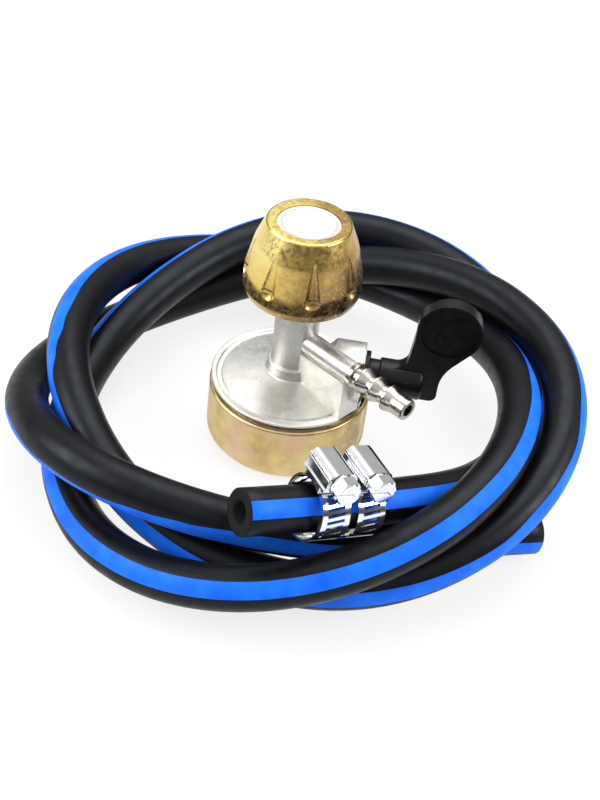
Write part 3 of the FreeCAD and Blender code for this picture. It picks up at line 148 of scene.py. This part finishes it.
def make_world():
    """A pale sky that is brighter overhead; the camera sees plain white."""
    world = bpy.data.worlds.new("studio")
    bpy.context.scene.world = world
    world.use_nodes = True
    tree = world.node_tree
    tree.nodes.clear()
    out = tree.nodes.new("ShaderNodeOutputWorld")
    coords = tree.nodes.new("ShaderNodeTexCoord")
    split = tree.nodes.new("ShaderNodeSeparateXYZ")
    tree.links.new(coords.outputs["Generated"], split.inputs[0])
    ramp = tree.nodes.new("ShaderNodeMapRange")
    ramp.interpolation_type = "SMOOTHSTEP"
    ramp.inputs["From Min"].default_value = SKY_DARK_BELOW
    ramp.inputs["From Max"].default_value = SKY_BRIGHT_ABOVE
    ramp.inputs["To Min"].default_value = SKY_DARK
    ramp.inputs["To Max"].default_value = SKY_BRIGHT
    tree.links.new(split.outputs["Z"], ramp.inputs["Value"])
    sky = tree.nodes.new("ShaderNodeBackground")
    tree.links.new(ramp.outputs[0], sky.inputs["Color"])
    plain = tree.nodes.new("ShaderNodeBackground")
    plain.inputs["Color"].default_value = (1, 1, 1, 1)
    path = tree.nodes.new("ShaderNodeLightPath")
    mix = tree.nodes.new("ShaderNodeMixShader")
    tree.links.new(path.outputs["Is Camera Ray"], mix.inputs[0])
    tree.links.new(sky.outputs[0], mix.inputs[1])
    tree.links.new(plain.outputs[0], mix.inputs[2])
    tree.links.new(mix.outputs[0], out.inputs["Surface"])


def make_floor():
    """A pale floor that keeps the object's shadow and looks nearly white."""
    mesh = bpy.data.meshes.new("floor")
    half = FLOOR_HALF
    corners = [(-half, -half, 0), (half, -half, 0), (half, half, 0), (-half, half, 0)]
    mesh.from_pydata(corners, [], [(0, 1, 2, 3)])
    floor = bpy.data.objects.new("floor", mesh)
    bpy.context.scene.collection.objects.link(floor)
    made = bpy.data.materials.new("floor")
    made.use_nodes = True
    tree = made.node_tree
    tree.nodes.clear()
    out = tree.nodes.new("ShaderNodeOutputMaterial")
    diffuse = tree.nodes.new("ShaderNodeBsdfDiffuse")
    diffuse.inputs["Color"].default_value = (FLOOR_TONE, FLOOR_TONE, FLOOR_TONE, 1)
    glow = tree.nodes.new("ShaderNodeEmission")
    glow.inputs["Color"].default_value = (1, 1, 1, 1)
    path = tree.nodes.new("ShaderNodeLightPath")
    seen = tree.nodes.new("ShaderNodeMath")
    seen.operation = "MAXIMUM"
    tree.links.new(path.outputs["Is Camera Ray"], seen.inputs[0])
    tree.links.new(path.outputs["Is Glossy Ray"], seen.inputs[1])
    part = tree.nodes.new("ShaderNodeMath")
    part.operation = "MULTIPLY"
    part.inputs[1].default_value = FLOOR_GLOW
    tree.links.new(seen.outputs[0], part.inputs[0])
    mix = tree.nodes.new("ShaderNodeMixShader")
    tree.links.new(part.outputs[0], mix.inputs[0])
    tree.links.new(diffuse.outputs[0], mix.inputs[1])
    tree.links.new(glow.outputs[0], mix.inputs[2])
    tree.links.new(mix.outputs[0], out.inputs["Surface"])
    mesh.materials.append(made)


# Material helpers

class Paint:
    """A material with one Principled shader, and short ways to add to it."""

    def __init__(self, name, **values):
        self.made = bpy.data.materials.new(name)
        self.made.use_nodes = True
        self.tree = self.made.node_tree
        self.tree.nodes.clear()
        out = self.tree.nodes.new("ShaderNodeOutputMaterial")
        self.shader = self.tree.nodes.new("ShaderNodeBsdfPrincipled")
        self.tree.links.new(self.shader.outputs[0], out.inputs["Surface"])
        for key, value in values.items():
            socket = self.shader.inputs[key.replace("_", " ")]
            socket.default_value = (*value, 1) if isinstance(value, tuple) else value
        self.coords = self.tree.nodes.new("ShaderNodeTexCoord").outputs["Object"]

    def link(self, source, node, socket):
        self.tree.links.new(source, node.inputs[socket])

    def stretched(self, scale):
        """The object's coordinates times a scale for each axis."""
        node = self.tree.nodes.new("ShaderNodeMapping")
        node.inputs["Scale"].default_value = scale
        self.link(self.coords, node, "Vector")
        return node.outputs[0]

    def noise(self, size, detail=3.0, rough=0.55, coords=None):
        """Noise whose blobs are about so many millimetres across."""
        node = self.tree.nodes.new("ShaderNodeTexNoise")
        node.inputs["Scale"].default_value = 1 / (size * MM)
        node.inputs["Detail"].default_value = detail
        node.inputs["Roughness"].default_value = rough
        self.link(coords or self.coords, node, "Vector")
        return node.outputs[0]

    def axis(self, name):
        node = self.tree.nodes.new("ShaderNodeSeparateXYZ")
        self.link(self.coords, node, 0)
        return node.outputs[name]

    def math(self, operation, first, second=None):
        node = self.tree.nodes.new("ShaderNodeMath")
        node.operation = operation
        for index, value in enumerate((first, second)):
            if value is None:
                continue
            if isinstance(value, (int, float)):
                node.inputs[index].default_value = value
            else:
                self.link(value, node, index)
        return node.outputs[0]

    def between(self, value, low, high, to_low=0.0, to_high=1.0):
        """Carry a value from one range to another, smoothly and clamped."""
        node = self.tree.nodes.new("ShaderNodeMapRange")
        node.interpolation_type = "SMOOTHSTEP"
        for key, number in (("From Min", low), ("From Max", high), ("To Min", to_low), ("To Max", to_high)):
            node.inputs[key].default_value = number
        self.link(value, node, "Value")
        return node.outputs[0]

    def ramp(self, value, stops):
        node = self.tree.nodes.new("ShaderNodeValToRGB")
        elements = node.color_ramp.elements
        while len(elements) < len(stops):
            elements.new(0.5)
        for element, (place, colour) in zip(elements, stops):
            element.position = place
            element.color = (*colour, 1)
        self.link(value, node, 0)
        return node.outputs[0]

    def mixed(self, part, first, second):
        node = self.tree.nodes.new("ShaderNodeMix")
        node.data_type = "RGBA"
        self.link(part, node, 0)
        for index, colour in ((6, first), (7, second)):
            if isinstance(colour, tuple):
                node.inputs[index].default_value = (*colour, 1)
            else:
                self.link(colour, node, index)
        return node.outputs[2]

    def bump(self, height, depth, strength=1.0, below=None):
        """Roughen the surface; depth is in millimetres."""
        node = self.tree.nodes.new("ShaderNodeBump")
        node.inputs["Strength"].default_value = strength
        node.inputs["Distance"].default_value = depth * MM
        self.link(height, node, "Height")
        if below is not None:
            self.link(below, node, "Normal")
        self.link(node.outputs[0], self.shader, "Normal")
        return node.outputs[0]

    def set(self, socket, value):
        self.link(value, self.shader, socket)


# Materials

def hose_rubber():
    paint = Paint("hose_rubber", Metallic=0.0, IOR=1.5, Specular_IOR_Level=0.20,
                  Specular_Tint=(0.80, 0.88, 1.0))
    tone = paint.noise(9.0, 4.0)
    paint.set("Base Color", paint.ramp(tone, ((0.3, (0.002, 0.002, 0.0025)), (0.7, (0.005, 0.005, 0.006)))))
    paint.set("Roughness", paint.between(paint.noise(4.0, 5.0), 0.3, 0.7, 0.32, 0.45))
    fine = paint.bump(paint.noise(0.5, 2.0), 0.03, 0.5)
    paint.bump(paint.noise(6.0, 2.0), 0.12, 0.35, fine)
    return paint.made


def hose_stripe():
    paint = Paint("hose_stripe", Metallic=0.0, IOR=1.45, Specular_IOR_Level=0.12)
    tone = paint.noise(7.0, 4.0)
    paint.set("Base Color", paint.ramp(tone, ((0.3, (0.006, 0.105, 0.70)), (0.7, (0.012, 0.165, 0.86)))))
    paint.set("Roughness", paint.between(paint.noise(3.0, 4.0), 0.3, 0.7, 0.40, 0.55))
    paint.bump(paint.noise(0.6, 2.0), 0.02, 0.4)
    return paint.made


def hose_cut():
    """The rubber's cut face and bore, duller than the outside."""
    paint = Paint("hose_cut", Metallic=0.0, IOR=1.5, Specular_IOR_Level=0.15)
    tone = paint.noise(0.8, 5.0)
    paint.set("Base Color", paint.ramp(tone, ((0.3, (0.003, 0.003, 0.003)), (0.75, (0.010, 0.010, 0.011)))))
    paint.set("Roughness", paint.between(tone, 0.3, 0.7, 0.6, 0.85))
    paint.bump(paint.noise(0.45, 4.0), 0.10, 0.8)
    return paint.made


def plain_rubber():
    paint = Paint("plain_rubber", Metallic=0.0)
    tone = paint.noise(2.0)
    paint.set("Base Color", paint.ramp(tone, ((0.3, (0.02, 0.02, 0.02)), (0.7, (0.04, 0.04, 0.04)))))
    paint.set("Roughness", paint.between(paint.noise(1.0), 0.3, 0.7, 0.5, 0.7))
    return paint.made


def side_to_side(paint, low, high):
    """0 on the picture's left of the part, 1 on its right."""
    across = paint.math("MULTIPLY", paint.axis("X"), RIGHT.x)
    across = paint.math("ADD", across, paint.math("MULTIPLY", paint.axis("Y"), RIGHT.y))
    return paint.between(across, low * MM, high * MM)


def gold_wheel():
    """Yellow zinc plate, mottled gold to brownish and speckled with small bright pits; painted shade deepens it
    towards the picture's right and towards the bottom.
    """
    paint = Paint("gold_wheel", Metallic=1.0)
    # Painted shade: this mask grows towards the picture's right, where the plate's colour is deepened to stand
    # in for shade and dim reflections; the pink tint is kept there too.
    shade_to_right = side_to_side(paint, -14.0, 12.0)
    # Painted shade: the plate's colour deepens towards the bottom of the wheel, below its bright top rim.
    low = paint.between(paint.axis("Z"), 56 * MM, 80 * MM, 1.0, 0.0)
    patch = paint.noise(9.0, 4.0, 0.6)
    # The sum is painted shade from the two masks above plus real random mottle from the patch noise.
    shade_and_mottle = paint.math("ADD", paint.math("MULTIPLY", shade_to_right, 0.30), paint.math("MULTIPLY", low, 0.22))
    shade_and_mottle = paint.math("ADD", shade_and_mottle, paint.math("MULTIPLY", patch, 0.45))
    shade_and_mottle = paint.math("ADD", shade_and_mottle, 0.09)
    body = paint.ramp(shade_and_mottle, (
        (0.28, (0.86, 0.72, 0.28)), (0.46, (0.78, 0.56, 0.16)),
        (0.62, (0.42, 0.27, 0.09)), (0.80, (0.20, 0.13, 0.06)),
    ))
    pink = paint.between(paint.noise(7.0, 3.0, coords=paint.stretched((1.0, 1.0, 1.4))), 0.52, 0.66)
    pink = paint.math("MULTIPLY", pink, paint.math("MULTIPLY", shade_to_right, 0.55))
    body = paint.mixed(pink, body, (0.52, 0.27, 0.19))
    speck = paint.between(paint.noise(0.55, 2.0, 0.6), 0.56, 0.70)
    speck = paint.math("MULTIPLY", speck, paint.between(shade_and_mottle, 0.40, 0.75, 0.1, 0.75))
    body = paint.mixed(speck, body, (0.80, 0.62, 0.25))
    pit = paint.between(paint.noise(0.8, 3.0, 0.6), 0.60, 0.72)
    body = paint.mixed(paint.math("MULTIPLY", pit, 0.3), body, (0.10, 0.07, 0.035))
    paint.set("Base Color", body)
    paint.set("Roughness", paint.between(paint.noise(1.5, 4.0), 0.3, 0.7, 0.20, 0.36))
    fine = paint.bump(paint.noise(0.7, 3.0), 0.035, 0.5)
    paint.bump(paint.noise(5.0, 2.0), 0.25, 0.25, fine)
    return paint.made


def gold_cup():
    """Yellow zinc plate on pressed steel, with pink tints, and brownish tint patches kept towards the picture's
    right, where they also paint shade.
    """
    paint = Paint("gold_cup", Metallic=1.0)
    tone = paint.noise(8.0, 4.0, 0.6)
    body = paint.ramp(tone, (
        (0.30, (0.52, 0.36, 0.13)), (0.50, (0.70, 0.54, 0.24)), (0.70, (0.80, 0.68, 0.34)),
    ))
    pink = paint.between(paint.noise(11.0, 3.0), 0.50, 0.64)
    body = paint.mixed(paint.math("MULTIPLY", pink, 0.6), body, (0.74, 0.46, 0.36))
    # Painted shade: towards the picture's right the colour turns deep brownish in noisy patches; the patches
    # are tint, their growth to the right is painted shade and dim reflections.
    shade_to_right = side_to_side(paint, 10.0, 25.0)
    tint_patches_and_shade = paint.math("MULTIPLY", shade_to_right, paint.between(paint.noise(6.0, 3.0), 0.35, 0.6))
    body = paint.mixed(paint.math("MULTIPLY", tint_patches_and_shade, 0.7), body, (0.27, 0.17, 0.08))
    grain = paint.between(paint.noise(0.5, 3.0, 0.6), 0.5, 0.7)
    body = paint.mixed(paint.math("MULTIPLY", grain, 0.25), body, (0.86, 0.76, 0.46))
    paint.set("Base Color", body)
    paint.set("Roughness", paint.between(paint.noise(2.0, 4.0), 0.3, 0.7, 0.34, 0.50))
    drawn = paint.bump(paint.noise(1.2, 3.0, coords=paint.stretched((1.0, 1.0, 0.25))), 0.03, 0.4)
    paint.bump(paint.noise(0.45, 2.0), 0.02, 0.5, drawn)
    return paint.made


def cast_zinc():
    """Satin plate over a fine grained casting."""
    paint = Paint("cast_zinc", Metallic=1.0)
    tone = paint.noise(5.0, 5.0, 0.6)
    body = paint.ramp(tone, ((0.3, (0.62, 0.61, 0.57)), (0.7, (0.78, 0.77, 0.73))))
    glint = paint.between(paint.noise(0.42, 2.0, 0.7), 0.55, 0.70)
    body = paint.mixed(paint.math("MULTIPLY", glint, 0.5), body, (0.90, 0.90, 0.88))
    dull = paint.between(paint.noise(0.6, 3.0, 0.6), 0.60, 0.74)
    body = paint.mixed(paint.math("MULTIPLY", dull, 0.6), body, (0.22, 0.21, 0.17))
    paint.set("Base Color", body)
    paint.set("Roughness", paint.between(paint.noise(1.0, 4.0), 0.3, 0.7, 0.36, 0.52))
    grain = paint.bump(paint.noise(0.45, 3.0, 0.6), 0.05, 0.6)
    paint.bump(paint.noise(3.0, 2.0), 0.08, 0.3, grain)
    return paint.made


def metal(name, low, high, rough_low, rough_high, grain=0.02):
    """A plain metal with slight clouds in its colour and gloss."""
    paint = Paint(name, Metallic=1.0)
    paint.set("Base Color", paint.ramp(paint.noise(2.5, 4.0), ((0.3, low), (0.7, high))))
    paint.set("Roughness", paint.between(paint.noise(1.2, 4.0), 0.3, 0.7, rough_low, rough_high))
    paint.bump(paint.noise(0.6, 3.0), grain, 0.5)
    return paint.made


def black_plastic():
    paint = Paint("black_plastic", Metallic=0.0, IOR=1.5, Specular_IOR_Level=0.22)
    tone = paint.noise(5.0)
    paint.set("Base Color", paint.ramp(tone, ((0.3, (0.002, 0.002, 0.002)), (0.7, (0.005, 0.005, 0.005)))))
    paint.set("Roughness", paint.between(paint.noise(2.0, 4.0), 0.3, 0.7, 0.28, 0.42))
    fine = paint.bump(paint.noise(0.5, 2.0), 0.02, 0.5)
    paint.bump(paint.noise(7.0, 2.0), 0.10, 0.3, fine)
    return paint.made


def label_film():
    """White film with a circle of plain ticks near its edge."""
    paint = Paint("label_film", Metallic=0.0, Roughness=0.5, Specular_IOR_Level=0.1)
    x = paint.axis("X")
    y = paint.axis("Y")
    squares = paint.math("ADD", paint.math("MULTIPLY", x, x), paint.math("MULTIPLY", y, y))
    reach = paint.math("SQRT", squares)
    angle = paint.math("ARCTAN2", y, x)
    tick = paint.math("ABSOLUTE", paint.math("SINE", paint.math("MULTIPLY", angle, 36)))
    tick = paint.math("GREATER_THAN", tick, 0.80)
    outside = paint.math("GREATER_THAN", reach, 8.0 * MM)
    inside = paint.math("LESS_THAN", reach, 8.7 * MM)
    band = paint.math("MULTIPLY", outside, inside)
    ink = paint.math("MULTIPLY", tick, band)
    ink = paint.math("MULTIPLY", ink, 0.9)
    film = paint.ramp(paint.noise(6.0), ((0.3, (0.62, 0.62, 0.62)), (0.7, (0.67, 0.67, 0.67))))
    paint.set("Base Color", paint.mixed(ink, film, (0.10, 0.11, 0.14)))
    return paint.made


def make_materials():
    """Give each CAD node its material."""
    steel = metal("plain_steel", (0.50, 0.51, 0.52), (0.64, 0.65, 0.66), 0.25, 0.40)
    chrome = metal("bright_steel", (0.80, 0.81, 0.83), (0.90, 0.91, 0.92), 0.06, 0.14, 0.008)
    nickel = metal("nickel", (0.38, 0.36, 0.31), (0.64, 0.62, 0.56), 0.16, 0.28)
    brass = metal("brass", (0.66, 0.48, 0.20), (0.78, 0.60, 0.28), 0.20, 0.34)
    by_slot = {
        "cast_zinc": cast_zinc(), "gold_plate": gold_cup(), "gold_wheel": gold_wheel(), "nickel": nickel,
        "brass": brass, "steel": steel, "bright_steel": chrome, "rubber": plain_rubber(),
        "black_plastic": black_plastic(), "label": label_film(), "hose_rubber": hose_rubber(),
    }
    for entry in frame["record"]["subparts"]:
        piece = nodes[entry["node"]]
        piece.data.materials.clear()
        piece.data.materials.append(by_slot[entry["material_slot"]])
    return by_slot


# Hose

def wave_sum(waves, turns):
    """The sum of some waves and its rate of change, after so many turns."""
    value = 0
    rate = 0
    for size, swings, peak in waves:
        phase = 2 * math.pi * (swings * turns - peak)
        value += size * math.cos(phase)
        rate -= size * 2 * math.pi * swings * math.sin(phase)
    return value, rate


def coil_station(quarter):
    """The hose's centre line and its direction after so many quarter turns."""
    turns = quarter / 4
    reach, reach_rate = wave_sum(REACH_WAVES, turns)
    height, height_rate = wave_sum(HEIGHT_WAVES, turns)
    angle = math.radians(COIL_START_ANGLE) + 2 * math.pi * turns
    outward = Vector((math.cos(angle), math.sin(angle), 0))
    sideways = Vector((-math.sin(angle), math.cos(angle), 0))
    place = COIL_CENTRE + (outward * (COIL_RADIUS + reach) + UP * height) * MM
    way = outward * reach_rate + sideways * ((COIL_RADIUS + reach) * 2 * math.pi) + UP * height_rate
    return place, way.normalized()


def quarter_points(start, start_way, finish, finish_way):
    """Control points of a smooth quarter turn, pushed out because the line passes inside them."""
    turn = start_way.angle(finish_way)
    reach = (finish - start).length * 2 / 3 * math.tan(turn / 4) / math.sin(turn / 2)
    near = start + start_way * reach
    far = finish - finish_way * reach
    push = 1 / math.cos(math.pi / (4 * POINTS_PER_QUARTER)) - 1
    points = []
    for index in range(POINTS_PER_QUARTER):
        part = index / POINTS_PER_QUARTER
        rest = 1 - part
        point = start * rest ** 3 + near * 3 * part * rest ** 2
        point += far * 3 * part ** 2 * rest + finish * part ** 3
        outward = point - COIL_CENTRE
        outward.z = 0
        points.append(point + outward * push)
    return points


def hose_route():
    """Control points from the near mouth, round the coil, to the far mouth."""
    stations = [coil_station(quarter) for quarter in range(COIL_QUARTERS + 1)]
    start, start_way = stations[0]
    finish, finish_way = stations[-1]
    lead = END_RUN + HOSE_STRAIGHT
    trail = HOSE_STRAIGHT + TAIL_RUN
    points = [start - start_way * lead * part for part in reversed(RUN_POINTS)]
    for before, after in zip(stations, stations[1:]):
        points += quarter_points(*before, *after)
    # the first station lies on the straight run, so its own point isn't needed
    del points[len(RUN_POINTS)]
    points += [finish + finish_way * trail * part for part in RUN_POINTS]
    return points


def follow(points):
    """Points read along the smooth line that the control points make."""
    curve = bpy.data.curves.new("hose_line", "CURVE")
    curve.dimensions = "3D"
    curve.resolution_u = LINE_STEPS
    spline = curve.splines.new("NURBS")
    spline.points.add(len(points) - 1)
    for point, place in zip(spline.points, points):
        point.co = (*place, 1)
    spline.order_u = 3
    spline.use_endpoint_u = True
    line = bpy.data.objects.new("hose_line", curve)
    bpy.context.scene.collection.objects.link(line)
    ready = line.evaluated_get(bpy.context.evaluated_depsgraph_get())
    mesh = bpy.data.meshes.new_from_object(ready)
    places = [vertex.co.copy() for vertex in mesh.vertices]
    bpy.data.meshes.remove(mesh)
    bpy.data.objects.remove(line)
    bpy.data.curves.remove(curve)
    return places


def stripe_angle(turns):
    """Where the stripe lies round the hose, eased between its places."""
    before = STRIPE_PLACES[0]
    for after in STRIPE_PLACES:
        if turns <= after[0]:
            break
        before = after
    if after[0] == before[0]:
        return math.radians(after[1])
    part = min(max((turns - before[0]) / (after[0] - before[0]), 0), 1)
    part = part * part * (3 - 2 * part)
    return math.radians(before[1] + (after[1] - before[1]) * part)


def line_turns(places):
    """How many turns of the coil lie behind each place on the line."""
    total = 0.0
    turns = []
    last = None
    for place in places:
        angle = math.atan2(place.y - COIL_CENTRE.y, place.x - COIL_CENTRE.x)
        if last is not None:
            change = angle - last
            while change > math.pi:
                change -= 2 * math.pi
            while change < -math.pi:
                change += 2 * math.pi
            total += change
        else:
            total = angle - math.radians(COIL_START_ANGLE)
        last = angle
        turns.append(total / (2 * math.pi))
    return turns


def make_hose(rubber, stripe, cut):
    """The tube along its line, with its stripe and its two open ends."""
    places = follow(hose_route())
    turns = line_turns(places)
    half = STRIPE_WIDTH / 2 / HOSE_RADIUS
    angles = [-half + 2 * half * k / STRIPE_FACES for k in range(STRIPE_FACES)]
    angles += [half + (2 * math.pi - 2 * half) * k / RUBBER_FACES for k in range(RUBBER_FACES)]
    count = len(angles)

    ways = []
    for index in range(len(places)):
        before = places[max(index - 1, 0)]
        after = places[min(index + 1, len(places) - 1)]
        ways.append((after - before).normalized())

    # each ring is the place on the line that it belongs to, its shift along the line, and its radius
    edge = MOUTH_EDGE
    rings = [(0, MOUTH_DEPTH, BORE_RADIUS), (0, edge, BORE_RADIUS), (0, 0, BORE_RADIUS + edge)]
    rings += [(0, 0, HOSE_RADIUS - edge), (0, edge, HOSE_RADIUS)]
    rings += [(index, 0, HOSE_RADIUS) for index in range(1, len(places) - 1)]
    last = len(places) - 1
    rings += [(last, -edge, HOSE_RADIUS), (last, 0, HOSE_RADIUS - edge)]
    rings += [(last, 0, BORE_RADIUS + edge), (last, -edge, BORE_RADIUS), (last, -MOUTH_DEPTH, BORE_RADIUS)]

    vertices = []
    for index, shift, radius in rings:
        way = ways[index]
        outward = way.cross(UP).normalized()
        over = outward.cross(way)
        lean = stripe_angle(turns[index])
        centre = places[index] + way * shift
        for angle in angles:
            turn = angle + lean
            vertices.append(centre + (outward * math.cos(turn) + over * math.sin(turn)) * radius)
    faces = []
    kinds = []
    for ring in range(len(rings) - 1):
        outside = rings[ring][2] >= HOSE_RADIUS and rings[ring + 1][2] >= HOSE_RADIUS
        for k in range(count):
            following = (k + 1) % count
            this, after = ring * count, (ring + 1) * count
            faces.append((this + k, after + k, after + following, this + following))
            kinds.append((1 if k < STRIPE_FACES else 0) if outside else 2)
    faces.append(tuple(range(count)))
    faces.append(tuple(reversed(range((len(rings) - 1) * count, len(rings) * count))))
    kinds += [2, 2]

    mesh = bpy.data.meshes.new("hose")
    mesh.from_pydata(vertices, [], faces)
    for material in (rubber, stripe, cut):
        mesh.materials.append(material)
    for polygon, kind in zip(mesh.polygons, kinds):
        polygon.material_index = kind
        polygon.use_smooth = True
    mesh.validate()
    mesh.update()
    hose = bpy.data.objects.new("hose", mesh)
    bpy.context.scene.collection.objects.link(hose)
    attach(hose, "regulator")
    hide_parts("hose_coil", "hose_end", "hose_tail")


bpy.context.scene.view_settings.view_transform = "Standard"
make_camera()
make_world()
make_floor()
for lamp in LAMPS:
    make_lamp(*lamp)
by_slot = make_materials()
make_hose(by_slot["hose_rubber"], hose_stripe(), hose_cut())
